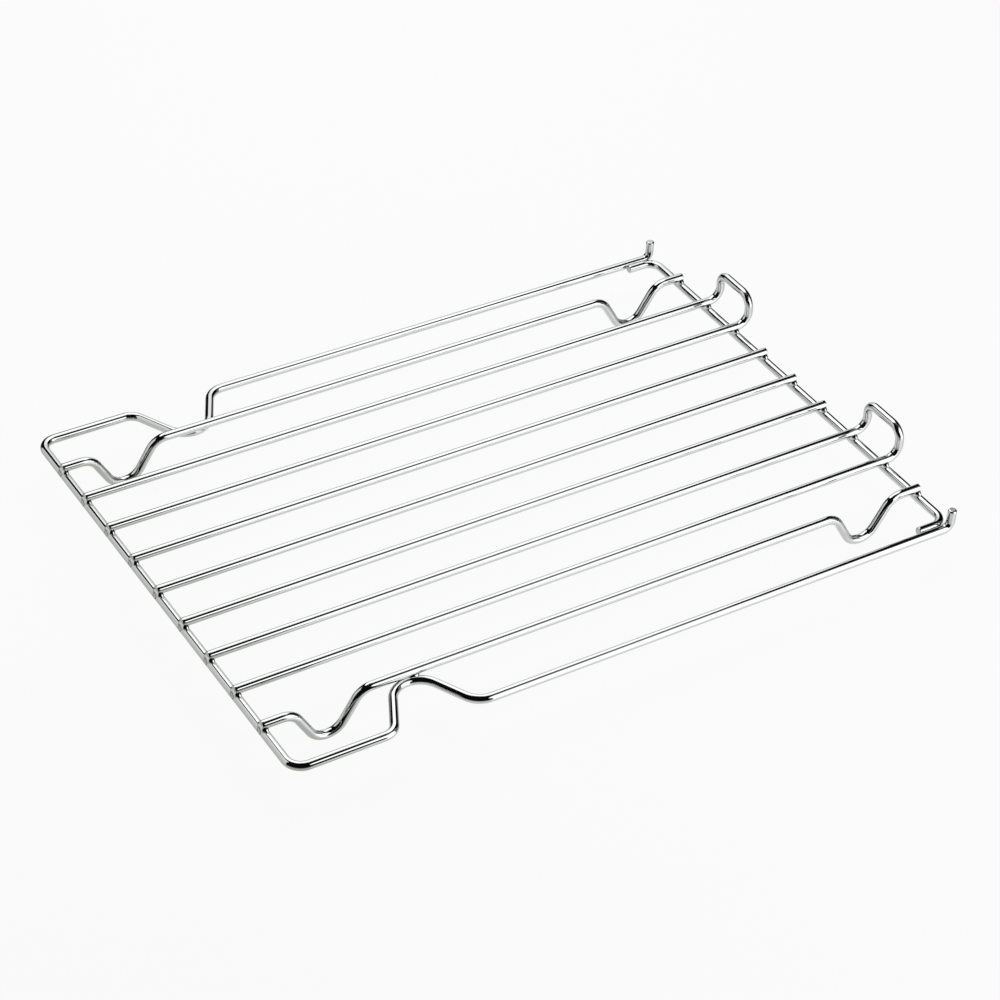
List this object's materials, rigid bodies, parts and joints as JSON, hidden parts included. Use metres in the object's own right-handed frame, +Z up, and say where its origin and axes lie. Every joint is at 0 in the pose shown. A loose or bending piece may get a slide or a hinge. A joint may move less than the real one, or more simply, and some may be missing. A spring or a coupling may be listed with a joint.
{
  "type": "oven rack",
  "caption": "Chromed wire oven rack: long bars on a bent frame wire, dipped feet, side jogs, looped back stops and upturned rear tips.",
  "frame": {"origin": "middle of the rack, on the surface that its feet stand on", "axes": "+Y from the front cross wire to the rear one, +X across to the right-hand side rail as seen from the front, +Z up"},
  "size_m": [0.3, 0.4142, 0.0445],
  "materials": {
    "chrome": "bright chrome plate on round steel wire, with a faint drawn grain along the wire"
  },
  "bodies": {
    "root": {"frame_wire": "chrome", "rear_cross_wire": "chrome", "foot_bar_right": "chrome", "foot_bar_left": "chrome", "stop_bar_right": "chrome", "stop_bar_left": "chrome", "plain_bar_right": "chrome", "plain_bar_middle": "chrome", "plain_bar_left": "chrome"}
  },
  "joints": []
}
